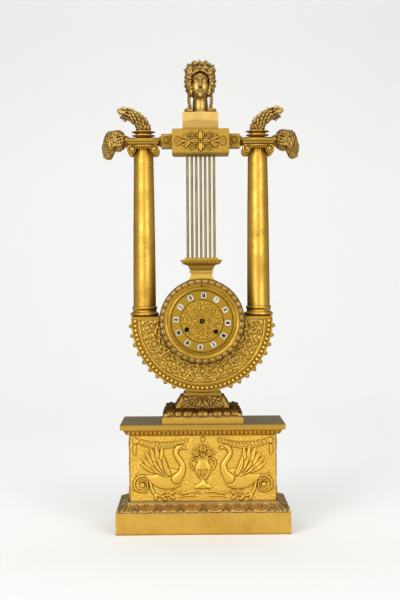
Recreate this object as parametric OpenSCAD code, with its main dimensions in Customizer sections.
// Gilt-bronze lyre clock on a rectangular pedestal. Millimetres, +Z up, front toward -Y.
// A crescent-shaped body on a leaf foot carries the clock drum and two columns.
// A yoke bar joins the column tops, and seven rods between yoke and drum are the strings.

/* [Pedestal] */
// Width of the plinth
plinth_w = 237; // [225:1:250]
// Depth of the plinth
plinth_d = 126; // [116:1:140]
// Height of the plinth
plinth_h = 29.3; // [24:0.1:36]
// Wall of the hollow pedestal castings
shell_wall = 4; // [3:0.5:6]
// Ledge of the plinth outside the leaf moulding
moulding_ledge = 1.5; // [0.5:0.5:3]
// Height of the leaf moulding's curve
moulding_h = 9.7; // [7:0.1:13]
// Height of the fillet over the leaf moulding
fillet_h = 2.5; // [1:0.5:5]
// How far that fillet stands outside the die
fillet_proud = 3.25; // [1:0.25:5]
// Width of the die
die_w = 198.5; // [190:0.5:206]
// Depth of the die
die_d = 87; // [82:1:94]
// Height of the die
die_h = 90.5; // [80:0.5:105]
// Width of the cornice
cornice_w = 224.5; // [214:0.5:234]
// Depth of the cornice
cornice_d = 113.5; // [110:0.5:124]
// Height of the cornice's sloping bed mould
bed_h = 8.8; // [6:0.1:12]
// Height of the cornice's plain fascia
fascia_h = 6.6; // [5:0.1:10]
// Relief of the ornaments on the die
relief_h = 3; // [2:0.5:4]

/* [Foot] */
// Width of the block under the foot
foot_block_w = 110.5; // [104:0.5:120]
// Depth of the block under the foot
foot_block_d = 105; // [98:0.5:109]
// Height of the block under the foot
foot_block_h = 9; // [6:0.5:13]
// Width of the foot's leaf rim
foot_rim_w = 107; // [98:0.5:110]
// Depth of the foot's leaf rim
foot_rim_d = 100; // [94:0.5:104]
// Height of the leaf rim
foot_rim_h = 10; // [7:0.1:13]
// Width of the foot where it rises from the rim
foot_low_w = 74; // [68:0.5:82]
// Depth of the foot where it rises from the rim
foot_low_d = 66; // [60:0.5:74]
// Width of the foot's top
foot_top_w = 55; // [50:0.5:60]
// Depth of the foot's top
foot_top_d = 48; // [44:0.5:54]
// Height of the foot over its rim
foot_rise = 17.3; // [13:0.1:22]
// Width of the neck slab
neck_w = 52; // [47:0.5:56]
// Depth of the neck slab
neck_d = 45; // [40:0.5:50]
// Height of the neck slab
neck_h = 3.9; // [3:0.1:6]

/* [Lyre body] */
// Height of the stem between the neck slab and the crescent
stem_h = 2.9; // [1:0.1:6]
// Radius of the crescent
crescent_r = 97; // [94:0.5:98]
// Depth of the crescent from front to back
crescent_d = 60; // [54:1:64]
// Wall of the hollow crescent
crescent_wall = 3; // [2:0.5:4]
// Height of the crescent's flat shoulders over the drum's axis
shoulder_rise = 6.1; // [4:0.1:8]
// Height of the plain band along the shoulders
shoulder_band_h = 4.5; // [3:0.1:5]
// Width of the beaded border
border_w = 12; // [9:0.5:15]
// How far the border stands in front of the crescent
border_t = 2; // [1:0.5:4]
// Radius of the knobs round the border
knob_r = 3.1; // [2.5:0.1:3.5]
// Number of knob places round the half circle
knob_count = 23; // [15:2:29]
// Radius of the drum
drum_r = 56; // [55:0.5:57]
// Wall of the drum
drum_wall = 2.5; // [2:0.25:3]
// Reach of the drum in front of the column axes
drum_front = 46; // [44:0.5:50]
// Reach of the drum behind the column axes
drum_back = 34; // [32:0.5:38]

/* [Columns] */
// Distance of each column from the middle
column_x = 79.5; // [78:0.5:81]
// Radius of the torus under a column
torus_r = 20.1; // [18:0.1:21]
// Height of the torus
torus_h = 5.8; // [4:0.1:8]
// Radius of the hollow ring over the torus
scotia_r = 16.3; // [15:0.1:17]
// Height of the hollow ring
scotia_h = 4; // [3:0.1:6]
// Radius of the astragal under the shaft
astragal_r = 17.7; // [17:0.1:19]
// Height of the astragal
astragal_h = 4.1; // [3:0.1:6]
// Radius of the shaft at its foot
shaft_low_r = 15.8; // [14.5:0.1:16.5]
// Radius of the shaft at its top
shaft_top_r = 13.5; // [12.5:0.1:14.4]
// Height of the shaft
shaft_h = 218.5; // [200:0.5:240]
// Height of the capital's egg band and abacus together
capital_h = 13.2; // [11:0.1:15]
// Height of the abacus alone
abacus_h = 8.8; // [7:0.1:10]
// Width of the abacus
abacus_w = 43; // [40:0.5:46]
// Depth of the capital
capital_d = 46; // [42:0.5:50]
// Distance of each volute's eye from the column's axis
volute_x = 16; // [15.5:0.1:17]
// Radius of the volutes
volute_r = 6.2; // [5.5:0.1:7]

/* [Yoke] */
// Radius of the yoke bar
bar_r = 5.9; // [5:0.1:7]
// Depth of the bar's axis under the abacus's top
bar_sink = 2; // [1:0.1:3]
// Reach of the bar to each side
bar_reach = 106; // [104:0.5:110]
// Width of the yoke block
yoke_w = 79; // [74:0.5:80]
// Depth of the yoke block
yoke_d = 45; // [40:0.5:50]
// Height of the yoke block
yoke_h = 34.8; // [30:0.1:40]
// How far the yoke block hangs under the bar's axis
yoke_drop = 19.2; // [15:0.1:22]
// Width of each rosette block
rosette_w = 15; // [13:0.5:15.5]
// Height of each rosette block
rosette_h = 18.6; // [16:0.1:22]
// Depth of each rosette block
rosette_d = 26; // [20:0.5:30]
// Radius of a string
string_r = 1.75; // [1.2:0.05:2.2]
// Distance between strings
string_pitch = 6.2; // [5:0.1:6.3]
// Number of strings
string_count = 7; // [5:2:7]
// Width of the string capital's cornice
string_cap_w = 58; // [52:0.5:62]
// Depth of the string capital's cornice
string_cap_d = 40; // [34:0.5:46]
// Height of the string capital's top over the drum's axis
string_cap_rise = 87.2; // [84:0.1:92]

/* [Finials] */
// Radius of the cups' rims
cup_r = 16.4; // [14:0.1:18]
// Height of the lower rim over the bar's axis
cup_low = 8.4; // [7.5:0.1:10]
// Height of the upper rim over the bar's axis
cup_high = 13.3; // [12:0.1:16]
// Reach of the rams' heads beyond the bar
ram_l = 30; // [26:0.5:34]
// Height of the beast heads over the cups
beast_h = 37; // [32:0.5:42]
// Width of the herm block
herm_w = 49.7; // [44:0.5:54]
// Depth of the herm block
herm_d = 38; // [32:0.5:42]
// Height of the herm block with its shoulders
herm_h = 24.1; // [20:0.1:30]
// Height of neck and head over the herm block
bust_h = 73.6; // [68:0.1:78]
// Width of the head with its hair
head_w = 45; // [40:0.5:48]

/* [Dial] */
// Visible radius of the dial
dial_r = 44.3; // [43.5:0.1:45]
// Thickness of the dial
dial_t = 1.2; // [1:0.1:1.6]
// How far the dial lies behind the drum's front edge
dial_inset = 2; // [1.5:0.1:2.5]
// Radius of the circle of numerals
numeral_r = 35.3; // [34:0.1:36.5]
// Width of a numeral plaque
plaque_w = 7.3; // [6.5:0.1:8.5]
// Height of a numeral plaque
plaque_h = 7.6; // [7:0.1:9]
// Thickness of a numeral plaque
plaque_t = 1; // [0.6:0.1:1.2]
// Radius of the centre hole
dial_hole_r = 3.4; // [3.2:0.1:3.8]
// Radius of the winding holes
wind_hole_r = 3; // [2.8:0.1:3.4]
// Outer radius of the bezel
bezel_r = 57.8; // [57.2:0.1:59]
// Radius of the bezel's opening
bezel_open_r = 49.2; // [48.5:0.1:50.5]
// Thickness of the bezel
bezel_t = 3.8; // [3:0.1:5]
// Thickness of the glass
glass_t = 1.2; // [1:0.1:1.5]
// Turn of dial and movement in the drum, clockwise from the front
movement_turn = 4; // [0:0.5:6]

/* [Movement] */
// Radius of the movement's plates
plate_r = 44; // [43:0.5:45]
// Thickness of the plates
plate_t = 2; // [1.5:0.1:2.5]
// Space between the plates
plate_gap = 30; // [29.8:0.1:31]
// Distance of each winding square from the middle
wind_x = 19.7; // [19.5:0.1:20]
// Drop of the winding squares under the middle
wind_drop = 12.8; // [12.5:0.1:13.2]
// Radius of the mainspring barrels
barrel_r = 15; // [13:0.1:16]
// Radius of the barrel arbors
winder_r = 2.5; // [2:0.1:3]
// Tip radius of the escape wheel
escape_r = 7; // [6.5:0.1:7.2]
// Swing of the pendulum to each side, in degrees
pendulum_swing = 4; // [2:0.5:5]
// Length of the pendulum from pivot to bob
pendulum_l = 110.5; // [106:0.5:114]
// Radius of the bob
bob_r = 11; // [9:0.5:11.5]
// Radius of the bell
bell_r = 30; // [26:0.5:31]

/* [Clearances] */
// Gap between seated castings
seat_gap = 0.05; // [0.02:0.01:0.1]
// Radial gap round a turning pivot
run_gap = 0.05; // [0.03:0.01:0.1]
// Gap between the drum's edges and the doors
door_gap = 0.2; // [0.1:0.05:0.3]
// Gap round rods and bolts
rod_gap = 0.3; // [0.2:0.1:0.5]

/* [Hidden] */

$fn = 64;
eps = 0.01;
big = 400;
gilt = [0.86, 0.66, 0.27];
dark_gilt = [0.62, 0.45, 0.18];
brass = [0.80, 0.66, 0.32];
steel = [0.45, 0.46, 0.48];
enamel = [0.95, 0.94, 0.90];
clear = [0.85, 0.92, 0.95, 0.35];

// Heights of the stack, from the floor up
z_die = plinth_h + moulding_h + fillet_h;
z_cornice = z_die + die_h;
z_base = z_cornice + bed_h + fascia_h;
z_foot = z_base + foot_block_h;
z_neck = z_foot + foot_rim_h + foot_rise;
z_lyre = z_neck + neck_h;
drum_rise = crescent_r + stem_h;
drum_z = z_lyre + drum_rise;
z_shoulder = drum_z + shoulder_rise;
z_shaft = z_shoulder + torus_h + scotia_h + astragal_h;
z_capital = z_shaft + shaft_h;
z_top = z_capital + capital_h;
bar_z = z_top - bar_sink;
yoke_z = bar_z - yoke_drop;
herm_z = yoke_z + yoke_h;
bust_z = herm_z + herm_h;

// Fasteners
tie_r = 2.5;
tie_inset = 15;
lyre_bolt_r = 4;
column_rod_r = 3;
nut_h = 5;
nut_f = 2;

// Hinges of bezel and back door, on the drum's right side
hinge_r = 1.8;
hinge_pin_r = 0.8;
hinge_x = drum_r + hinge_r + door_gap;
bezel_hinge_y = -drum_front + hinge_r;
door_hinge_y = drum_back + hinge_r + door_gap;
knuckle_h = 6;
knuckle_gap = 0.3;
door_r = drum_r - 1;
door_t = 1.6;

// Places in the movement: [right, up] from the centre arbor, depth t behind the front plate
y_plate = -32;
tooth_w = 0.40;
leaf_w = 0.33;
tip_w = 0.14;
barrel_n = 60;
barrel_m = 0.6;
second_leaf = 10;
second_n = 60;
second_m = 0.5;
centre_leaf = 10;
centre_n = 72;
centre_m = 0.38;
third_leaf = 6;
third_n = 90;
third_m = 0.29;
escape_leaf = 6;
escape_n = 30;
cannon_leaf = 12;
cannon_m = 0.5;
minute_n = 36;
minute_leaf = 10;
minute_m = 0.48;
hour_n = 40;
strike_n = 72;
strike_m = 0.42;
pin_leaf = 8;
pin_n = 48;
pin_m = 0.36;
warn_leaf = 8;
warn_n = 40;
warn_m = 0.33;
fly_leaf = 8;
function mesh_d(n1, n2, m) = m * (n1 + n2) / 2;
function polar(r, a) = r * [cos(a), sin(a)];
// Point at distance ra from a and rb from b, on side s
function meet(a, ra, b, rb, s) =
    let (d = norm(b - a), x = (d * d + ra * ra - rb * rb) / (2 * d), u = (b - a) / d)
    a + u * x + s * sqrt(ra * ra - x * x) * [-u[1], u[0]];
centre_at = [0, 0];
going_at = [wind_x, -wind_drop];
strike_at = [-wind_x, -wind_drop];
second_d = mesh_d(barrel_n, second_leaf, barrel_m);
going_second_at = meet(going_at, second_d, centre_at, mesh_d(second_n, centre_leaf, second_m), -1);
strike_second_at = [-going_second_at[0], going_second_at[1]];
third_at = [0, mesh_d(centre_n, third_leaf, centre_m)];
escape_at = third_at + [0, mesh_d(third_n, escape_leaf, third_m)];
pallet_d = 10.5;
pallet_at = escape_at + [0, pallet_d];
minute_at = [0, -mesh_d(minute_n, cannon_leaf, cannon_m)];
pin_at = strike_second_at + polar(mesh_d(strike_n, pin_leaf, strike_m), 105);
warn_at = pin_at + polar(mesh_d(pin_n, warn_leaf, pin_m), 23);
fly_at = warn_at + polar(mesh_d(warn_n, fly_leaf, warn_m), 111);
hammer_at = [-32, 16];
bell_at = [14, -6];
hammer_head_r = 3;
strike_gap = 0.8;
hammer_head_at = bell_at + polar(bell_r + hammer_head_r + strike_gap, 187);
pillar_ats = [[-36.9, 3.2], [36.9, 3.2], [0, -37.5], [22, 30]];
dial_foot_ats = [for (a = [40, 140, 220, 320]) polar(40, a)];
// Rest phase of a gear b that meshes with a gear a, whose phase is known
function mesh_phase(a, phase, na, b, nb) =
    let (th = atan2(b[1] - a[1], b[0] - a[0]), u = (th - phase) * na / 360)
    th + 180 + (u - 0.5) * 360 / nb;
centre_wheel_ph = 0;
going_second_ph = mesh_phase(centre_at, 0, centre_leaf, going_second_at, second_n);
going_barrel_ph = mesh_phase(going_second_at, 0, second_leaf, going_at, barrel_n);
third_ph = mesh_phase(centre_at, centre_wheel_ph, centre_n, third_at, third_leaf);
escape_ph = mesh_phase(third_at, 0, third_n, escape_at, escape_leaf);
minute_ph = mesh_phase(centre_at, 0, cannon_leaf, minute_at, minute_n);
hour_ph = mesh_phase(minute_at, 0, minute_leaf, centre_at, hour_n);
strike_barrel_ph = mesh_phase(strike_second_at, 0, second_leaf, strike_at, barrel_n);
pin_ph = mesh_phase(strike_second_at, 0, strike_n, pin_at, pin_leaf);
warn_ph = mesh_phase(pin_at, 0, pin_n, warn_at, warn_leaf);
fly_ph = mesh_phase(warn_at, 0, warn_n, fly_at, fly_leaf);
// Suspension point of the pendulum in the clock's own frame
pivot_x = pallet_at[0] * cos(movement_turn) + pallet_at[1] * sin(movement_turn);
pivot_z = drum_z - pallet_at[0] * sin(movement_turn) + pallet_at[1] * cos(movement_turn);
crutch_y = 3.5;
cock_y = 5.5;
pendulum_y = 9;

// Shared shapes

// Rounded S curve as [fraction inward, height] points
function cyma(h, n) = [for (i = [0:n]) [(1 - cos(180 * i / n)) / 2, h * i / n]];
// Quarter hollow, as the same kind of points, from f0 to f1
function cavetto(f0, z0, f1, z1, n) =
    [for (i = [0:n]) [f0 + (f1 - f0) * sin(90 * i / n), z0 + (z1 - z0) * (1 - cos(90 * i / n))]];
function outline(w0, w1, prof) = concat(
    [for (p = prof) [w0 / 2 + (w1 - w0) / 2 * p[0], p[1]]],
    [for (i = [len(prof) - 1:-1:0]) [-w0 / 2 - (w1 - w0) / 2 * prof[i][0], prof[i][1]]]);

// Rectangular block with one profile on all four sides, from w0 x d0 (fraction 0) to w1 x d1 (fraction 1)
module moulded(w0, d0, w1, d1, prof) {
    intersection() {
        rotate([90, 0, 0]) linear_extrude(big, center = true) polygon(outline(w0, w1, prof));
        rotate([90, 0, 90]) linear_extrude(big, center = true) polygon(outline(d0, d1, prof));
    }
}

module slab(w, d, h) { translate([-w / 2, -d / 2, 0]) cube([w, d, h]); }

// Cylinder along +Y from y0 to y1
module cyl_y(r, y0, y1) { translate([0, y0, 0]) rotate([-90, 0, 0]) cylinder(h = y1 - y0, r = r); }

// Flat outline in the XZ plane, from y0 to y1
module plate_y(y0, y1) { translate([0, y1, 0]) rotate([90, 0, 0]) linear_extrude(y1 - y0) children(); }

module hex_nut(r, h) { cylinder(h = h, r = r, $fn = 6); }

// Two balls and the cone that joins them
module limb(a, ra, b, rb) {
    d = norm(b - a);
    v = (b - a) / d;
    s = (ra - rb) / d;
    c = 0.985 * sqrt(1 - s * s);
    translate(a) sphere(ra, $fn = 32);
    translate(b) sphere(rb, $fn = 32);
    translate(a) rotate([0, acos(v[2]), atan2(v[1], v[0])])
        translate([0, 0, ra * s]) cylinder(h = d - (ra - rb) * s, r1 = ra * c, r2 = rb * c, $fn = 32);
}

module sides() { for (s = [-1, 1]) scale_x(s) children(); }
module scale_x(s) { if (s > 0) children(); else mirror([1, 0, 0]) children(); }

// Hinge: the fixed pair of knuckles with their pin, and the middle knuckle of the door
module hinge_leaf(y, wall_y0, wall_y1) {
    for (s = [-1, 1]) translate([0, 0, drum_z + s * (knuckle_h + knuckle_gap)]) {
        translate([hinge_x, y, -knuckle_h / 2]) cylinder(h = knuckle_h, r = hinge_r, $fn = 32);
        translate([drum_r - drum_wall + 0.5, wall_y0, -knuckle_h / 2])
            cube([hinge_x - drum_r + drum_wall - 0.5, wall_y1 - wall_y0, knuckle_h]);
    }
    translate([hinge_x, y, drum_z - knuckle_h]) cylinder(h = 2 * knuckle_h, r = hinge_pin_r, $fn = 32);
}
module hinge_knuckle(y) {
    translate([hinge_x, y, drum_z - knuckle_h / 2]) cylinder(h = knuckle_h, r = hinge_r, $fn = 32);
}
module hinge_bore(y) {
    translate([hinge_x, y, drum_z - knuckle_h])
        cylinder(h = 2 * knuckle_h, r = hinge_pin_r + run_gap, $fn = 32);
}

// Pedestal

module plinth() color(gilt) {
    window_w = die_w - 4 * tie_inset;
    window_d = die_d - 4 * tie_inset;
    difference() {
        slab(plinth_w, plinth_d, plinth_h);
        translate([0, 0, -eps])
            slab(plinth_w - 2 * shell_wall, plinth_d - 2 * shell_wall, plinth_h - shell_wall);
        slab(window_w, window_d, plinth_h + 1);
        tie_places() cylinder(h = big, r = tie_r + rod_gap);
    }
}

module leaf_moulding() color(gilt) translate([0, 0, plinth_h]) {
    top_w = die_w + 2 * fillet_proud;
    top_d = die_d + 2 * fillet_proud;
    difference() {
        moulded(plinth_w - 2 * moulding_ledge, plinth_d - 2 * moulding_ledge, top_w, top_d,
            concat(cyma(moulding_h, 8), [[1, moulding_h + fillet_h]]));
        translate([0, 0, -1]) slab(die_w - 2 * shell_wall, die_d - 2 * shell_wall, big);
    }
}

module die() color(gilt) translate([0, 0, z_die]) difference() {
    slab(die_w, die_d, die_h);
    translate([0, 0, -1]) slab(die_w - 2 * shell_wall, die_d - 2 * shell_wall, big);
}

// Part of a ring lying on a wall in the XZ plane
module scroll(r, tube, from, turn) {
    rotate([90, 0, 0]) rotate([0, 0, from]) rotate_extrude(angle = turn)
        translate([r, 0]) circle(tube, $fn = 24);
}

// Raised button, set a little into the wall
module boss(r, h) {
    root = 0.5;
    rotate([90, 0, 0]) translate([0, 0, -root]) cylinder(h = h + root, r1 = r, r2 = 0.7 * r);
}

// Wreath between leaf scrolls with rosettes, on a backing plate of width w
module relief_panel(w, h, wreath_r, scrolls) {
    back = relief_h / 3;
    tube = relief_h - back;
    plate_y(-back, 0) square([w, h], center = true);
    translate([0, -back, 0]) intersection() {
        union() {
            scroll(wreath_r, tube, 0, 360);
            boss(wreath_r / 3, tube);
            sides() for (i = [0:1:scrolls - 1]) translate([wreath_r + (0.62 + 1.02 * i) * wreath_r, 0, 0])
                scale_x(i % 2 == 0 ? 1 : -1) {
                    scroll(0.46 * wreath_r, 0.8 * tube, -60, 300);
                    boss(0.2 * wreath_r, tube);
                }
        }
        plate_y(-tube, back / 2) square([w, h], center = true);
    }
}

module die_reliefs() color(gilt) translate([0, 0, z_die + die_h / 2]) {
    margin = 5;
    translate([0, -die_d / 2, 0]) relief_panel(die_w - 2 * margin, die_h - 2 * margin, 0.32 * die_h, 3);
    for (a = [90, -90]) rotate([0, 0, a]) translate([0, -die_w / 2, 0])
        relief_panel(die_d - 4 * margin, die_h - 4 * margin, 0.26 * die_h, 0);
}

module cornice() color(gilt) translate([0, 0, z_cornice]) {
    difference() {
        moulded(cornice_w, cornice_d, die_w, die_d,
            [[0.98, 0], [0.2, bed_h], [0, bed_h], [0, bed_h + fascia_h]]);
        difference() {
            translate([0, 0, -1])
                slab(die_w - 2 * shell_wall, die_d - 2 * shell_wall, 1 + bed_h + fascia_h - shell_wall);
            tie_places() translate([0, 0, -1]) cylinder(h = big, r = 2 * tie_r + rod_gap);
        }
        translate([0, 0, -1]) tie_places()
            cylinder(h = 1 + bed_h + fascia_h - shell_wall, r = tie_r + seat_gap);
        cylinder(h = big, r = lyre_bolt_r + rod_gap);
    }
}

module tie_places() {
    tie_x = die_w / 2 - shell_wall - tie_inset;
    tie_y = die_d / 2 - shell_wall - tie_inset;
    for (x = [-1, 1], y = [-1, 1]) translate([x * tie_x, y * tie_y, 0]) children();
}

// Threaded rods with their nuts: four in the pedestal, one up into the lyre, one through each column
module tie_rods() color(steel) {
    tie_z0 = plinth_h - shell_wall - 2 * nut_h;
    tie_places() {
        translate([0, 0, tie_z0]) cylinder(h = z_base - shell_wall - tie_z0, r = tie_r);
        translate([0, 0, plinth_h - shell_wall - nut_h - seat_gap]) hex_nut(nut_f * tie_r, nut_h);
    }
    bolt_top = drum_z - crescent_r + crescent_wall;
    plate_z = z_base - shell_wall;
    translate([0, 0, plate_z - 2 * nut_h]) cylinder(h = bolt_top - plate_z + 4 * nut_h, r = lyre_bolt_r);
    translate([0, 0, plate_z - nut_h]) hex_nut(nut_f * lyre_bolt_r, nut_h);
    translate([0, 0, bolt_top]) hex_nut(nut_f * lyre_bolt_r, nut_h);
    shelf = z_shoulder - crescent_wall;
    sides() translate([column_x, 0, 0]) {
        translate([0, 0, shelf - 2 * nut_h])
            cylinder(h = bar_z + cup_low - shelf + 2 * nut_h, r = column_rod_r);
        translate([0, 0, shelf - nut_h]) hex_nut(nut_f * column_rod_r, nut_h);
    }
}

// Foot

module bolt_bore() { translate([0, 0, -1]) cylinder(h = big, r = lyre_bolt_r + rod_gap); }

module foot_block() color(gilt) translate([0, 0, z_base]) difference() {
    moulded(foot_block_w, foot_block_d, foot_block_w - 2, foot_block_d - 2,
        [[0, 0], [0, foot_block_h - 1], [1, foot_block_h]]);
    bolt_bore();
}

module lyre_foot() color(gilt) translate([0, 0, z_foot]) difference() {
    union() {
        moulded(foot_rim_w, foot_rim_d, foot_low_w, foot_low_d,
            concat([[0, 0]], [for (i = [1:6]) let (a = 90 * i / 6)
                [1 - cos(a), foot_rim_h * (0.15 + 0.85 * sin(a))]]));
        translate([0, 0, foot_rim_h]) moulded(foot_low_w, foot_low_d, foot_top_w, foot_top_d,
            [for (i = [0:6]) let (t = i / 6) [pow(t, 1.3), foot_rise * t]]);
    }
    bolt_bore();
}

module neck_slab() color(gilt) translate([0, 0, z_neck]) difference() {
    slab(neck_w, neck_d, neck_h);
    bolt_bore();
}

// Lyre body

// Space under the shoulders
module below_shoulder(drop) { translate([-big, -big, -2 * big + shoulder_rise - drop]) cube(2 * big); }

module crescent_outline(r, y0, y1) {
    intersection() {
        cyl_y(r, y0, y1);
        below_shoulder(0);
    }
}

module pendulum_slot() {
    swing = (pendulum_l + bob_r) * sin(pendulum_swing);
    translate([pivot_x - swing - 3, pendulum_y - 6, -drum_r - crescent_wall - 4])
        cube([2 * swing + 6, 12, crescent_wall + 14]);
}

module crescent() color(gilt) translate([0, 0, drum_z]) {
    half = crescent_d / 2;
    difference() {
        union() {
            crescent_outline(crescent_r, -half, half);
            translate([0, 0, -drum_rise]) slab(neck_w - 6, neck_d - 4, stem_h + crescent_wall);
            crescent_scrolls();
            sides() translate([drum_r - 1, -half - border_t, shoulder_rise - shoulder_band_h])
                cube([crescent_r - drum_r - 0.5, border_t + 1, shoulder_band_h]);
        }
        difference() {
            intersection() {
                cyl_y(crescent_r - crescent_wall, -half + crescent_wall, half + 1);
                below_shoulder(crescent_wall);
            }
            cyl_y(drum_r + seat_gap + crescent_wall, -big, big);
        }
        cyl_y(drum_r + seat_gap, -big, big);
        pendulum_slot();
        translate([0, 0, -drum_rise]) bolt_bore();
        translate([0, 0, crescent_wall - crescent_r]) cylinder(h = nut_h, r = nut_f * lyre_bolt_r + rod_gap);
        sides() translate([column_x, 0, 0]) cylinder(h = big, r = column_rod_r + rod_gap, center = true);
    }
}

// Leaf scrolls in low relief on the crescent's face
module crescent_scrolls() {
    r = (drum_r + crescent_r - border_w) / 2 + 1;
    for (i = [-4:4]) if (i != 0) rotate([0, 20 * i, 0]) translate([0, -crescent_d / 2, -r]) {
        scroll(6.5, 1.2, i * 40, 290);
        boss(3, 1.4);
    }
}

// Border ring with two fillets and a rim of knobs
module crescent_border() color(gilt) translate([0, 0, drum_z]) {
    half = crescent_d / 2;
    r0 = crescent_r - border_w;
    step = 180 / knob_count;
    intersection() {
        difference() {
            union() {
                cyl_y(crescent_r, -half - border_t, -half);
                for (r = [r0 + 2, crescent_r - 1.5])
                    translate([0, -half - border_t, 0]) scroll(r, 0.9, 0, 360);
            }
            cyl_y(r0, -big, big);
        }
        below_shoulder(shoulder_band_h + seat_gap);
    }
    for (i = [-(knob_count - 1) / 2:(knob_count - 1) / 2])
        if (abs(crescent_r * sin(i * step)) > neck_w / 2 + knob_r) rotate([0, i * step, 0])
            translate([0, -half - border_t + knob_r * 0.4, -crescent_r - 0.2]) difference() {
                sphere(knob_r, $fn = 24);
                translate([0, 0.2, crescent_r + 0.2])
                    cyl_y(crescent_r + seat_gap, -knob_r * 0.4 + border_t - 0.2, 9);
            }
}

module crescent_back() color(dark_gilt) translate([0, 0, drum_z]) difference() {
    crescent_outline(crescent_r - 1, crescent_d / 2, crescent_d / 2 + 2);
    cyl_y(drum_r + seat_gap, -big, big);
}

module drum() color(gilt) {
    translate([0, 0, drum_z]) difference() {
        cyl_y(drum_r, -drum_front, drum_back);
        cyl_y(drum_r - drum_wall, -big, drum_back - 3);
        cyl_y(drum_r - 9, -big, big);
        pendulum_slot();
    }
    difference() {
        union() {
            hinge_leaf(bezel_hinge_y, bezel_hinge_y - 0.8, bezel_hinge_y + 0.8);
            hinge_leaf(door_hinge_y, drum_back - 2, drum_back);
            door_arms();
        }
        translate([0, 0, drum_z]) cyl_y(drum_r - drum_wall + 0.3, -big, drum_back - 3);
        translate([0, 0, drum_z]) cyl_y(drum_r - 9, -big, big);
    }
}

// Short arms that carry the back door's knuckles behind the drum's edge
module door_arms() {
    for (s = [-1, 1]) translate([hinge_x - 0.8, drum_back - 2, drum_z + s * (knuckle_h + knuckle_gap)])
        translate([0, 0, -knuckle_h / 2]) cube([1.6, hinge_r + door_gap + 2, knuckle_h]);
}

// Columns

module column_bases() color(gilt) sides() translate([column_x, 0, z_shoulder]) difference() {
    rotate_extrude() polygon(concat([[0, 0]],
        [for (i = [0:8]) let (a = -90 + 180 * i / 8)
            [torus_r - torus_h / 2 + torus_h / 2 * cos(a), torus_h / 2 * (1 + sin(a))]],
        [for (i = [0:6]) let (a = 180 * i / 6) [scotia_r + 0.8 - 0.8 * sin(a), torus_h + scotia_h * i / 6]],
        [for (i = [0:8]) let (a = -90 + 180 * i / 8)
            [astragal_r - astragal_h / 2 + astragal_h / 2 * cos(a),
                torus_h + scotia_h + astragal_h / 2 * (1 + sin(a))]],
        [[0, torus_h + scotia_h + astragal_h]]));
    cylinder(h = big, r = column_rod_r + rod_gap, center = true);
}

module column(s) translate([s * column_x, 0, z_shaft]) difference() {
    rotate_extrude() polygon([[0, 0], [shaft_low_r, 0],
        for (i = [1:6]) let (t = i / 6)
            [shaft_low_r + (shaft_top_r - shaft_low_r) * t + 0.35 * sin(180 * t), shaft_h * t],
        [0, shaft_h]]);
    cylinder(h = 3 * big, r = column_rod_r + rod_gap, center = true);
}
module left_column() color(gilt) column(-1);
module right_column() color(gilt) column(1);

// Ionic capital: egg band, bolsters that end in volutes, abacus
module capitals() color(gilt) sides() translate([column_x, 0, z_capital]) difference() {
    echinus_h = capital_h - abacus_h;
    half = capital_d / 2;
    union() {
        cylinder(h = echinus_h, r1 = shaft_top_r, r2 = shaft_top_r + 4);
        difference() {
            translate([0, 0, echinus_h - volute_r]) for (s = [-1, 1]) translate([s * volute_x, 0, 0]) {
                for (f = [-1, 1]) translate([0, f * (half - 3), 0]) {
                    cyl_y(volute_r, -3, 3);
                    cyl_y(0.35 * volute_r, -3.6, 3.6);
                }
                cyl_y(0.8 * volute_r, -half + 3, half - 3);
            }
            translate([0, 0, -big]) cylinder(h = big, r = shaft_top_r + rod_gap);
        }
        translate([-volute_x, -half, echinus_h - 2]) cube([2 * volute_x, capital_d, 2]);
        translate([0, 0, echinus_h]) moulded(abacus_w, capital_d, abacus_w - 4, capital_d - 4,
            [[1, 0], [0.3, abacus_h * 0.45], [0, abacus_h * 0.55], [0, abacus_h]]);
    }
    translate([0, 0, capital_h - bar_sink]) rotate([0, 90, 0])
        cylinder(h = big, r = bar_r + seat_gap, center = true);
    cylinder(h = big, r = column_rod_r + rod_gap, center = true);
    translate([0, 0, -big]) cylinder(h = big, r = shaft_top_r + rod_gap);
}

// Yoke

module bar_bore() {
    translate([0, 0, bar_z]) rotate([0, 90, 0]) cylinder(h = 2 * big, r = bar_r + seat_gap, center = true);
}

module yoke_bar() color(gilt) difference() {
    translate([0, 0, bar_z]) rotate([0, 90, 0]) cylinder(h = 2 * bar_reach, r = bar_r, center = true);
    sides() translate([column_x, 0, bar_z]) cylinder(h = big, r = column_rod_r + rod_gap, center = true);
}

module yoke_block() color(gilt) difference() {
    bevel = 1.6;
    translate([0, 0, yoke_z]) moulded(yoke_w, yoke_d, yoke_w - 2 * bevel, yoke_d - 2 * bevel,
        [[1, 0], [0, bevel], [0, yoke_h - bevel], [1, yoke_h]]);
    bar_bore();
    string_places() translate([0, 0, yoke_z - 1]) cylinder(h = 5, r = string_r + seat_gap, $fn = 32);
}

module rosette_blocks() color(gilt) difference() {
    sides() translate([yoke_w / 2 + rosette_w / 2 + seat_gap, 0, bar_z]) {
        plate_y(-rosette_d / 2, rosette_d / 2) square([rosette_w, rosette_h], center = true);
        translate([0, -rosette_d / 2, 0]) {
            boss(0.45 * rosette_w, 2);
            scroll(0.3 * rosette_w, 1.2, 0, 360);
        }
    }
    bar_bore();
}

module string_places() {
    for (i = [0:string_count - 1]) translate([(i - (string_count - 1) / 2) * string_pitch, 0, 0]) children();
}

module strings() color(gilt) string_places() translate([0, 0, drum_z + string_cap_rise - 3])
    cylinder(h = yoke_z + 4 - drum_z - string_cap_rise + 3, r = string_r, $fn = 32);

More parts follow.
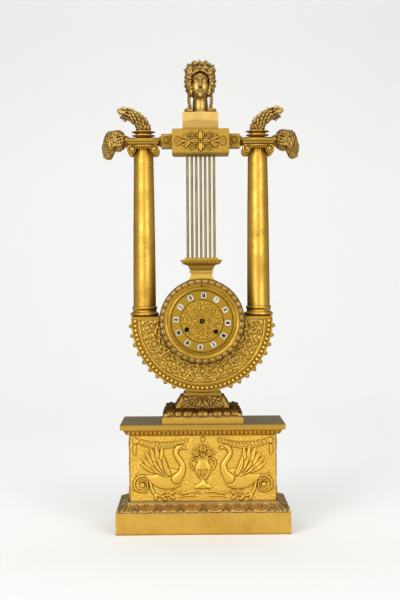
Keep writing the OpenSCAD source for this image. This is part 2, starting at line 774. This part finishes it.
// Moulded block that stands on the drum and takes the strings
module string_capital() color(gilt) difference() {
    foot_f = 0.25;
    neck_f = 0.5;
    fillet_f = 0.42;
    step_f = 0.38;
    translate([0, 0, drum_z + drum_r - 4]) {
        h = string_cap_rise - drum_r + 4;
        moulded(string_cap_w, string_cap_d, 0, 0, concat(
            [[foot_f, 0]],
            [for (i = [0:6]) let (a = 90 * i / 6)
                [foot_f + (neck_f - foot_f) * sin(a), 3 + (h - 23.7) * (1 - cos(a))]],
            [[fillet_f, h - 20.7], [fillet_f, h - 17.8], [neck_f - 0.02, h - 17.8], [step_f, h - 12.5]],
            [for (i = [0:4]) let (a = 90 * i / 4)
                [step_f - 0.2 * (1 - cos(a)), h - 12.5 + 3.3 * sin(a)]],
            [[0.02, h - 4.3], [0, h - 3.9], [0, h - 2.6], [0.2, h - 2.6], [0.2, h]]));
    }
    translate([0, 0, drum_z]) cyl_y(drum_r + seat_gap, -big, big);
    string_places() translate([0, 0, drum_z + string_cap_rise - 3 - seat_gap])
        cylinder(h = 9, r = string_r + seat_gap, $fn = 32);
}

// Ram's head at the end of the bar: skull, long muzzle, ears and curled horns
module ram_head() {
    k = ram_l / 30;
    function place(x, y, z) = k * [x, y, z];
    translate([bar_reach, 0, bar_z]) difference() {
        union() {
            limb(place(3, 0, 0), 9 * k, place(13, 0, 4), 11.5 * k);
            limb(place(15, 0, 3), 10.5 * k, place(22, 0, -12), 7.8 * k);
            limb(place(22, 0, -12), 7.6 * k, place(24, 0, -20.4), 6 * k);
            for (s = [-1, 1]) translate(place(7, s * 10.5, -2)) {
                rotate([90, 0, 0]) rotate([0, 0, -200]) rotate_extrude(angle = 330)
                    translate([8 * k, 0]) circle(3.6 * k, $fn = 24);
                limb(place(8, 0, -4), 2.6 * k, place(14, s * 3, -7), 1.2 * k);
            }
        }
        translate([-bar_reach, 0, -bar_z]) bar_bore_end();
        translate([-2 * big, -big, -big]) cube([2 * big - 5, 2 * big, 2 * big]);
    }
}
module bar_bore_end() {
    translate([0, 0, bar_z]) rotate([0, 90, 0]) cylinder(h = bar_reach + seat_gap, r = bar_r + seat_gap);
}
module left_ram_head() color(gilt) mirror([1, 0, 0]) ram_head();
module right_ram_head() color(gilt) ram_head();

// Finials

// Stem astride the bar and a cup with two thin rims
module finial_cups() color(gilt) difference() {
    stem = 0.22 * cup_r;
    bowl = 0.58 * cup_r;
    lip = 0.6;
    sides() translate([column_x, 0, bar_z]) rotate_extrude() polygon([[0, 0], [1.4 * stem, 0],
        [1.1 * stem, 0.3 * cup_low], [stem, 0.5 * cup_low], [1.9 * stem, 0.64 * cup_low],
        [0.68 * cup_r, cup_low - 3 * lip], [cup_r - lip, cup_low - lip], [cup_r - lip, cup_low + lip / 2],
        [bowl, cup_low + 1.2 * lip], [bowl, cup_low + 2.4 * lip], [0.76 * cup_r, cup_high - 2.6 * lip],
        [cup_r, cup_high - lip / 2], [cup_r, cup_high + lip / 2], [0.82 * cup_r, cup_high + 1.3 * lip],
        [0.76 * cup_r, cup_high], [0, cup_high]]);
    bar_bore();
    sides() translate([column_x, 0, 0]) cylinder(h = bar_z + cup_low + seat_gap, r = column_rod_r + rod_gap);
}

// Long-necked beast: neck sweeps outward and up, head with open jaws and pricked ears
module beast() {
    k = beast_h / 37;
    base = [column_x - 1, 0, bar_z + cup_high + 8];
    function at(x, z) = base + k * [x, 0, z];
    intersection() {
        union() {
            limb(at(0.5, -8), 10 * k, at(2, 1.6), 8.8 * k);
            limb(at(2, 1.6), 8.8 * k, at(6.5, 7.5), 8.6 * k);
            limb(at(6.5, 7.5), 8.6 * k, at(14, 13.5), 8 * k);
            limb(at(14, 13.5), 8 * k, at(21, 17.5), 7.6 * k);
            limb(at(21, 17.5), 7.4 * k, at(28, 19.5), 6.2 * k);
            limb(at(28, 19.5), 6 * k, at(33, 20.8), 3.6 * k);
            limb(at(25, 13), 4.4 * k, at(33, 14.6), 1.8 * k);
            limb(at(24.5, 11.5), 3.4 * k, at(26, 7.6), 1.2 * k);
            for (s = [-1, 1])
                limb(at(26, 23) + [0, s * 4.6 * k, 0], 2.4 * k, at(28.5, 27.6) + [0, s * 5.2 * k, 0], 1 * k);
        }
        translate([0, -big, bar_z + cup_high]) cube(2 * big);
    }
}
module left_beast() color(gilt) mirror([1, 0, 0]) beast();
module right_beast() color(gilt) beast();

// Square block whose front leans back over a proud plate with an arched top
module herm() color(gilt) translate([0, 0, herm_z]) {
    front = -herm_d / 2;
    proud = 0.06 * herm_d;
    lean = 0.11 * herm_d;
    arch_r = 1.32 * herm_w;
    translate([-herm_w / 2, 0, 0]) rotate([90, 0, 90]) linear_extrude(herm_w)
        polygon([[front + proud, 0], [-front, 0], [-front, herm_h], [front + proud + lean, herm_h]]);
    plate_y(front, 0) intersection() {
        translate([-herm_w / 2, 0]) square([herm_w, herm_h]);
        translate([0, 0.48 * herm_h - arch_r]) circle(arch_r, $fn = 180);
    }
}

// Head of plain classic proportions, with a wreath and locks that fall to the shoulders
module bust_head() color(gilt) translate([0, 0, bust_z]) {
    lock_z = 0.3 * bust_h;
    skull_r = 0.36 * head_w;
    hair_r = 0.45 * head_w;
    crown_z = bust_h - 0.5 * head_w;
    part_w = 0.54 * head_w;
    cylinder(h = 0.45 * bust_h, r1 = 0.27 * head_w, r2 = 0.2 * head_w);
    limb([0, -3, 0.36 * bust_h], 0.24 * head_w, [0, 0, crown_z], skull_r);
    translate([0, 1, crown_z + 2]) difference() {
        sphere(hair_r, $fn = 48);
        translate([-part_w / 2, -big, -big]) cube([part_w, big - 4, big + 4]);
        translate([-big, -big, -2 * big - 0.2 * head_w]) cube(2 * big);
    }
    translate([0, 0, crown_z + 5]) rotate([-12, 0, 0])
        rotate_extrude() translate([hair_r - 1.2, 0]) circle(3.4, $fn = 24);
    sides() {
        limb([0.41 * head_w, 2, crown_z - 4], 4.6, [0.4 * head_w, -2, lock_z], 3.7);
        limb([0.4 * head_w, -2, lock_z], 3.5, [0.34 * head_w, -7, 3], 2.8);
    }
}

// Dial, bezel and back door

module in_movement() { translate([0, y_plate, drum_z]) rotate([0, movement_turn, 0]) children(); }
module at(p) { translate([p[0], 0, p[1]]) children(); }

dial_y = -drum_front + dial_inset;
surround_r = drum_r - drum_wall - seat_gap;

module dial_surround() color(gilt) translate([0, 0, drum_z]) rotate([90, 0, 0]) difference() {
    hollow = 1.6;
    rim_r = surround_r - 1.2;
    inner = dial_r + seat_gap;
    rotate_extrude() polygon(concat([[inner - 1.4, -dial_y - dial_t - 2], [surround_r, -dial_y - dial_t - 2],
        [surround_r, drum_front]],
        [for (i = [0:8]) let (t = i / 8)
            [rim_r + (inner - rim_r) * t, drum_front - dial_inset * t - hollow * sin(180 * t)]],
        [[inner, -dial_y - dial_t], [inner - 1.4, -dial_y - dial_t]]));
    translate([0, (rim_r + inner) / 2, 0]) cylinder(h = big, r = 1.4, $fn = 32);
}

module dial() color(gilt) in_movement() {
    y0 = dial_y - y_plate;
    difference() {
        cyl_y(dial_r, y0, y0 + dial_t);
        cyl_y(dial_hole_r, -big, big);
        for (p = [going_at, strike_at]) at(p) cyl_y(wind_hole_r, -big, big);
    }
    for (p = dial_foot_ats) at(p) cyl_y(1.5, y0 + dial_t, -plate_t);
}

module numeral_plaques() color(enamel) in_movement() {
    y0 = dial_y - y_plate;
    for (i = [0:11]) rotate([0, 30 * i, 0]) translate([0, 0, numeral_r])
        plate_y(y0 - plaque_t, y0) intersection() {
            square([plaque_w, plaque_h], center = true);
            circle(0.58 * plaque_h);
        }
}

// Egg-ringed frame that holds the glass, hinged at three o'clock
module bezel() color(gilt) {
    back = drum_front + door_gap;
    mid = (bezel_r + bezel_open_r) / 2;
    half = (bezel_r - bezel_open_r) / 2;
    difference() {
        union() {
            translate([0, 0, drum_z]) rotate([90, 0, 0]) rotate_extrude() polygon(concat(
                [[bezel_open_r, back], [bezel_r, back], [bezel_r, back + 1.2]],
                [for (i = [1:7]) let (a = 180 * i / 8)
                    [mid + half * cos(a), back + 1.2 + (bezel_t - 1.2) * sin(a)]],
                [[bezel_open_r, back + 1.2]]));
            hinge_knuckle(bezel_hinge_y);
            translate([hinge_x - 1.6, -back - 1, drum_z - knuckle_h / 2])
                cube([1.6, back + 1 + bezel_hinge_y, knuckle_h]);
        }
        hinge_bore(bezel_hinge_y);
        translate([0, 0, drum_z]) cyl_y(bezel_open_r + 0.8, -back - glass_t, 0);
        translate([0, 0, drum_z]) cyl_y(drum_r + door_gap, -drum_front - door_gap / 2, big);
    }
}

module bezel_glass() color(clear) translate([0, 0, drum_z])
    cyl_y(bezel_open_r + 0.8 - seat_gap, -drum_front - door_gap - glass_t + seat_gap, -drum_front - door_gap);

module back_door() color(dark_gilt) difference() {
    y0 = drum_back + door_gap;
    union() {
        translate([0, 0, drum_z]) cyl_y(door_r, y0, y0 + door_t);
        translate([0, 0, drum_z]) cyl_y(0.8 * door_r, y0 + door_t - eps, y0 + door_t + 1);
        hinge_knuckle(door_hinge_y);
        translate([door_r - 2, y0, drum_z - knuckle_h / 2]) cube([hinge_x - door_r + 2, door_t, knuckle_h]);
    }
    hinge_bore(door_hinge_y);
}

// Movement

// Outline of n teeth of module m, thickness share w, height add and depth ded
module gear2d(n, m, w, add, ded, phase) {
    r = n * m / 2;
    half = 180 * w / n;
    tip = 180 * tip_w / n;
    tooth = [[r - ded, -half], [r, -half], [r + add, -tip], [r + add, tip], [r, half], [r - ded, half]];
    polygon([for (i = [0:n - 1]) for (q = tooth) polar(q[0], phase + 360 * i / n + q[1])]);
}
module wheel(n, m, t0, t1, phase) {
    r = n * m / 2;
    holes = 5;
    plate_y(t0, t1) difference() {
        gear2d(n, m, tooth_w, m, 0.9 * m, phase);
        for (i = [1:holes]) rotate(360 * i / holes) translate([0.56 * r, 0]) circle(0.25 * r);
    }
}
module solid_wheel(n, m, t0, t1, phase) { plate_y(t0, t1) gear2d(n, m, tooth_w, m, 0.9 * m, phase); }
module pinion(n, m, t0, t1, phase) { plate_y(t0, t1) gear2d(n, m, leaf_w, 0.5 * m, 1.3 * m, phase); }

pivot_r = 0.45;
shake = 0.2;
// Arbor of radius r between the plates, with thinner pivots in their holes
module arbor(r) {
    cyl_y(r, shake, plate_gap - shake);
    cyl_y(pivot_r, -plate_t + shake, plate_gap + plate_t - shake);
}

pivot_ats = [going_second_at, third_at, escape_at, strike_second_at, pin_at, warn_at, fly_at];
centre_r = 1;
hammer_r = 1;

module plate_outline(y0, y1) {
    difference() {
        cyl_y(plate_r, y0, y1);
        for (p = pivot_ats) at(p) cyl_y(pivot_r + run_gap, -big, big);
        at(centre_at) cyl_y(centre_r + run_gap, -big, big);
        at(hammer_at) cyl_y(hammer_r + run_gap, -big, big);
        for (p = [going_at, strike_at]) at(p) cyl_y(winder_r - 0.7 + run_gap, -big, big);
    }
}

module front_plate() color(brass) in_movement() {
    difference() {
        plate_outline(-plate_t, 0);
        at(pallet_at) cyl_y(pivot_r + run_gap, -big, big);
    }
    at(minute_at) cyl_y(1, -plate_t - 6, -plate_t + eps);
}

module back_plate() color(brass) in_movement() difference() {
    plate_outline(plate_gap, plate_gap + plate_t);
    at(strike_second_at) cyl_y(1.3 + run_gap, -big, big);
    at(pallet_at) cyl_y(3, -big, big);
}

module plate_pillars() color(brass) in_movement() for (p = pillar_ats) at(p)
    rotate([-90, 0, 0]) rotate_extrude() polygon([[0, 0], [3, 0], [3, 2], [1.9, 4],
        [1.9, plate_gap / 2 - 2], [2.5, plate_gap / 2], [1.9, plate_gap / 2 + 2], [1.9, plate_gap - 4],
        [3, plate_gap - 2], [3, plate_gap], [0, plate_gap]]);

// Straps that draw the dial ring and the drum's rear flange together
module movement_straps() color(brass) sides() {
    strap_t = 2;
    strap_w = 8;
    strap_y0 = dial_y + dial_t + 2;
    translate([drum_r - drum_wall - strap_t - 1.5, strap_y0, drum_z - strap_w / 2])
        cube([strap_t, drum_back - 3 - strap_y0, strap_w]);
}

ratchet_r = 6.4;
ratchet_n = 24;
ratchet_t = -plate_t - 1.6;

// Saw-toothed ratchet wheel
module ratchet(hand) {
    step = 360 / ratchet_n;
    plate_y(ratchet_t, ratchet_t + 1.2) polygon([for (i = [0:ratchet_n - 1])
        for (q = [[ratchet_r, 0], [ratchet_r - 0.9, 0.1 * step]]) polar(q[0], hand * (i * step + q[1]))]);
}

// Clicks that hold the ratchets, on the front plate
module clicks() color(steel) in_movement() for (s = [-1, 1]) at([s * wind_x, -wind_drop]) {
    tip = polar(ratchet_r + 0.2, 270 - s * 20);
    pin = [s * 5, -ratchet_r - 3.6];
    at(pin) cyl_y(1.8, ratchet_t, -plate_t);
    plate_y(ratchet_t, ratchet_t + 1.2)
        polygon([tip, tip + [s * 0.6, -1.2], pin + [0, -1.6], pin + [s * 1.2, 1]]);
}

// Barrel with its toothed rim
module barrel(p, phase, w0, w1, d0, d1) in_movement() at(p) difference() {
    union() {
        solid_wheel(barrel_n, barrel_m, w0, w1, phase);
        cyl_y(barrel_r, d0, d1);
    }
    cyl_y(winder_r + run_gap, -big, big);
}
module going_barrel() color(brass) barrel(going_at, going_barrel_ph, 3, 5, 5, 24);
module strike_barrel() color(brass) barrel(strike_at, strike_barrel_ph, 25, 27, 6, 25);

// Winding arbor: square behind the dial's hole, ratchet, body in the barrel
module winder(p, hand) in_movement() at(p) {
    front = dial_y + dial_t + 1.5 - y_plate;
    cyl_y(winder_r, shake, plate_gap - shake);
    cyl_y(winder_r - 0.7, ratchet_t, plate_gap + plate_t - shake);
    ratchet(hand);
    plate_y(front, ratchet_t) square(winder_r, center = true);
}
module going_winder() color(steel) winder(going_at, 1);
module strike_winder() color(steel) winder(strike_at, -1);

module going_second_wheel() color(brass) in_movement() at(going_second_at) {
    arbor(1);
    pinion(second_leaf, barrel_m, 2, 6, 0);
    wheel(second_n, second_m, 25.5, 26.5, going_second_ph);
}

// Centre arbor with its pinion and wheel, and the cannon pinion in front of the plate
module centre_wheel() color(brass) in_movement() at(centre_at) {
    front = dial_y + dial_t + 1 - y_plate;
    cyl_y(centre_r, front, plate_gap + plate_t - shake);
    cyl_y(1.6, front + 1, -plate_t - 0.6);
    pinion(centre_leaf, second_m, 25, 27, 0);
    wheel(centre_n, centre_m, 28, 29, centre_wheel_ph);
    pinion(cannon_leaf, cannon_m, -plate_t - 3, -plate_t - 1, 0);
}

module third_wheel() color(brass) in_movement() at(third_at) {
    arbor(0.6);
    pinion(third_leaf, centre_m, 27.5, 29.5, third_ph);
    wheel(third_n, third_m, 10, 11, 0);
}

// Thin raked teeth of a recoil escapement
module escape_wheel() color(brass) in_movement() at(escape_at) {
    step = 360 / escape_n;
    arbor(0.45);
    pinion(escape_leaf, third_m, 9, 12, escape_ph);
    plate_y(24, 25.5) difference() {
        polygon([for (i = [0:escape_n - 1]) for (q = [[escape_r - 1.3, 0], [escape_r, 0.5], [escape_r, 0.62],
            [escape_r - 1.3, 0.72]]) polar(q[0], (i + q[1]) * step)]);
        for (i = [0:4]) rotate(72 * i) translate([0.45 * escape_r, 0]) circle(0.2 * escape_r);
    }
}

// Anchor over the escape wheel, and the crutch that hangs to the pendulum rod
module pallets() color(steel) {
    reach = escape_r + pallet_d * sin(pendulum_swing) + 0.2;
    nib = 50;
    in_movement() at(pallet_at) {
        cyl_y(0.9, 22, cock_y - y_plate - shake);
        cyl_y(pivot_r, -plate_t + shake, 22 + eps);
        cyl_y(pivot_r, cock_y - y_plate - shake - eps, cock_y - y_plate + 1);
        plate_y(24, 25.5) difference() {
            polygon([[-2, 2], [2, 2], [(reach + 1.6) * sin(nib) + 0.6, (reach + 1.6) * cos(nib) - pallet_d],
                [reach * sin(nib), reach * cos(nib) - pallet_d], [3, -2.6], [0, -1.8], [-3, -2.6],
                [-reach * sin(nib), reach * cos(nib) - pallet_d],
                [-(reach + 1.6) * sin(nib) - 0.6, (reach + 1.6) * cos(nib) - pallet_d]]);
            translate([0, -pallet_d]) circle(reach);
        }
    }
    crutch_l = 26;
    fork = 1.3;
    translate([pivot_x, crutch_y, pivot_z]) {
        cyl_y(2, 0, 1.2);
        translate([-1, 0, -crutch_l]) cube([2, 1.2, crutch_l]);
        translate([-fork - 1, 0, -crutch_l - 2]) cube([2 * fork + 2, 1.2, 3]);
        for (s = [-1, 1]) translate([s * (fork + 0.5) - 0.5, 0, -crutch_l - 2])
            cube([1, pendulum_y - crutch_y + 2, 1.5]);
    }
}

// Bridge on the back plate with the stud that the pendulum hangs on
module suspension_cock() color(brass) in_movement() {
    top = cock_y - y_plate;
    leg = 10.5;
    difference() {
        union() {
            at(pallet_at) plate_y(top, top + 2) translate([-leg - 1.5, -3]) square([2 * leg + 3, 5]);
            for (s = [-1, 1]) at(pallet_at + [s * leg, 0])
                plate_y(plate_gap + plate_t, top) translate([-1.5, -3]) square([3, 5]);
            at(pallet_at) cyl_y(0.8, top + 1, pendulum_y - y_plate + 2.5);
        }
        at(pallet_at) cyl_y(pivot_r + run_gap, -big, top + 1.2);
    }
}

// Rod with an eye on the stud and a lens-shaped bob inside the crescent
module pendulum() color(steel) translate([pivot_x, pendulum_y, pivot_z]) {
    bob_t = 5;
    bob_rim = 0.6;
    difference() {
        union() {
            cyl_y(2, -0.9, 0.9);
            translate([0, 0, -pendulum_l]) cylinder(h = pendulum_l - 1.5, r = 0.8, $fn = 24);
            translate([0, 0, -pendulum_l]) rotate([90, 0, 0]) rotate_extrude()
                polygon([[0, -bob_t / 2], [0.6 * bob_r, -bob_t * 0.4], [bob_r, -bob_rim], [bob_r, bob_rim],
                    [0.6 * bob_r, bob_t * 0.4], [0, bob_t / 2]]);
        }
        cyl_y(0.8 + run_gap, -big, big);
    }
}

// Motion work under the dial
module minute_wheel() color(brass) in_movement() at(minute_at) difference() {
    union() {
        solid_wheel(minute_n, cannon_m, -plate_t - 2.5, -plate_t - 1.5, minute_ph);
        pinion(minute_leaf, minute_m, -plate_t - 5.5, -plate_t - 2.5, 0);
    }
    cyl_y(1 + run_gap, -big, big);
}
module hour_wheel() color(brass) in_movement() at(centre_at) difference() {
    union() {
        solid_wheel(hour_n, minute_m, -plate_t - 5, -plate_t - 4, hour_ph);
        cyl_y(2.8, dial_y + dial_t + 1.5 - y_plate, -plate_t - 3.4);
    }
    cyl_y(1.6 + run_gap, -big, big);
}

// Striking train

// Arbor that also carries the notched count wheel behind the back plate
module strike_second_wheel() color(brass) in_movement() at(strike_second_at) {
    count_r = 13.5;
    back = plate_gap + plate_t;
    hours = [for (i = [1:11]) i * (i + 3) / 2];
    cyl_y(1, shake, plate_gap - shake);
    cyl_y(pivot_r, -plate_t + shake, shake + eps);
    cyl_y(1.3, plate_gap - shake - eps, back + 2.5);
    pinion(second_leaf, barrel_m, 24, 28, 0);
    wheel(strike_n, strike_m, 1.5, 3, 0);
    plate_y(back + 1, back + 2.2) difference() {
        circle(count_r);
        for (h = concat([0], hours)) rotate(360 * h / 90) translate([count_r - 1.5, -0.5]) square([3, 1]);
    }
}

module pin_wheel() color(brass) in_movement() at(pin_at) {
    pins = 10;
    arbor(0.8);
    pinion(pin_leaf, strike_m, 1, 4, pin_ph);
    solid_wheel(pin_n, pin_m, 12, 13.5, 0);
    for (i = [1:pins]) at(polar(7, 360 * i / pins)) cyl_y(0.5, 13, 17);
}

module warning_wheel() color(brass) in_movement() at(warn_at) {
    arbor(0.7);
    pinion(warn_leaf, pin_m, 11, 15, warn_ph);
    wheel(warn_n, warn_m, 18, 19, 0);
}

module fly() color(brass) in_movement() at(fly_at) {
    arbor(0.6);
    pinion(fly_leaf, warn_m, 17, 20, fly_ph);
    plate_y(21, 29) square([9, 0.6], center = true);
}

// Arbor with a tail at the pins, and an arm behind the plate to the hammer at the bell's edge
module hammer() color(steel) in_movement() {
    back = plate_gap + plate_t;
    arm_y = back + 4;
    to_pin = (pin_at - hammer_at) / norm(pin_at - hammer_at);
    to_head = hammer_head_at - hammer_at;
    tail = norm(pin_at - hammer_at) - 7.9;
    at(hammer_at) {
        cyl_y(hammer_r, -plate_t + shake, arm_y + 2);
        plate_y(14.5, 16.5)
            polygon([2 * [-to_pin[1], to_pin[0]], tail * to_pin, -2 * [-to_pin[1], to_pin[0]], -2 * to_pin]);
        plate_y(arm_y, arm_y + 1.6) rotate(atan2(to_head[1], to_head[0]))
            translate([-2, -1]) square([norm(to_head) + 2, 2]);
    }
    at(hammer_head_at) cyl_y(hammer_head_r, arm_y, arm_y + 15);
}

bell_y = 14;
bell_deep = 14;

module bell_stand() color(steel) in_movement() at(bell_at) {
    crown = bell_y + bell_deep - y_plate;
    cyl_y(2.5, plate_gap + plate_t, crown - 2);
    cyl_y(1.5, crown - 2 - eps, crown + 3);
    translate([0, crown + seat_gap, 0]) rotate([-90, 0, 0]) difference() {
        hex_nut(3.2, 2);
        cylinder(h = big, r = 1.5, center = true);
    }
}

// Shallow bell, mouth toward the movement
module bell() color(brass) in_movement() at(bell_at) translate([0, bell_y - y_plate, 0]) rotate([-90, 0, 0]) {
    wall = 1.6;
    difference() {
        rotate_extrude() polygon(concat(
            [for (i = [0:10]) let (a = 9 * i) [bell_r * cos(a), bell_deep * sin(a)]],
            [for (i = [10:-1:0]) let (a = 9 * i) [(bell_r - wall) * cos(a), (bell_deep - wall) * sin(a)]]));
        cylinder(h = big, r = 1.5 + seat_gap, center = true);
    }
}

plinth();
leaf_moulding();
die();
die_reliefs();
cornice();
tie_rods();
foot_block();
lyre_foot();
neck_slab();
crescent();
crescent_border();
crescent_back();
drum();
string_capital();
strings();
column_bases();
left_column();
right_column();
capitals();
yoke_bar();
yoke_block();
rosette_blocks();
left_ram_head();
right_ram_head();
finial_cups();
left_beast();
right_beast();
herm();
bust_head();
dial_surround();
dial();
numeral_plaques();
bezel();
bezel_glass();
front_plate();
back_plate();
plate_pillars();
movement_straps();
clicks();
suspension_cock();
bell_stand();
bell();
back_door();
going_barrel();
going_winder();
strike_barrel();
strike_winder();
going_second_wheel();
centre_wheel();
third_wheel();
escape_wheel();
pallets();
pendulum();
minute_wheel();
hour_wheel();
strike_second_wheel();
pin_wheel();
warning_wheel();
fly();
hammer();
